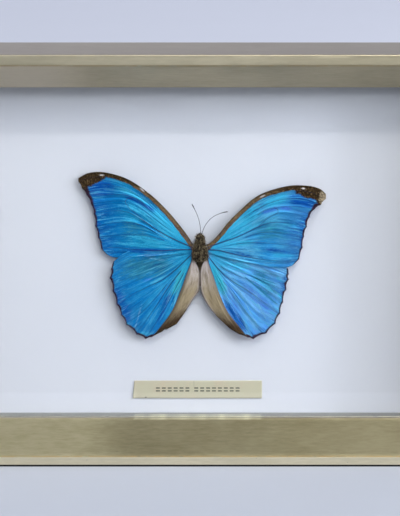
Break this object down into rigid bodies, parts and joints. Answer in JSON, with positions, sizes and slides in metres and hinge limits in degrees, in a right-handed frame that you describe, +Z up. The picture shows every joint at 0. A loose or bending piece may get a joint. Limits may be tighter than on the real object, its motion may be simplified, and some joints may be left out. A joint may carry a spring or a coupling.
{
  "type": "framed butterfly specimen",
  "caption": "Spread blue butterfly glued to a white board with a paper label, behind glass in a deep silver-gold leafed wooden frame that stands or hangs.",
  "frame": {"origin": "under the middle of the whole object, in the plane of the bottom rail's lower face, on which it stands", "axes": "+X to the viewer's right, +Y towards the back of the frame (the glass faces -Y), +Z up"},
  "size_m": [0.269, 0.0366, 0.209],
  "materials": {
    "leaf": "wood under silver-gold metal leaf, brushed along each rail, rubbed bright at the lip over a red-brown ground",
    "glass": "clear float glass",
    "white_board": "smooth matt white mount board",
    "hardboard": "brown pressed hardboard",
    "steel": "plain bright steel blades",
    "brass": "brassed steel, slightly dulled",
    "label_paper": "aged pale yellow-green paper with a slight gloss",
    "wing": "dry wing membrane with glossy iridescent blue scales, dark brown at tips and margins, silky grey-brown at the inner folds",
    "chitin": "dry dark brown chitin under short hair with pale flecks"
  },
  "bodies": {
    "root": {"rail_bottom": "leaf", "rail_left": "leaf", "rail_top": "leaf", "rail_right": "leaf", "spacer_bottom": "leaf", "spacer_left": "leaf", "spacer_top": "leaf", "spacer_right": "leaf", "glass_pane": "glass", "mount_board": "white_board", "backing_board": "hardboard", "framing_point_bottom_1": "steel", "framing_point_bottom_2": "steel", "framing_point_left_1": "steel", "framing_point_left_2": "steel", "framing_point_top_1": "steel", "framing_point_top_2": "steel", "framing_point_right_1": "steel", "framing_point_right_2": "steel", "hanger_plate": "brass", "hanger_nail_1": "brass", "hanger_nail_2": "brass", "label": "label_paper", "left_forewing": "wing", "right_forewing": "wing", "left_hindwing": "wing", "right_hindwing": "wing", "butterfly_body": "chitin", "left_antenna": "chitin", "right_antenna": "chitin"}
  },
  "joints": []
}
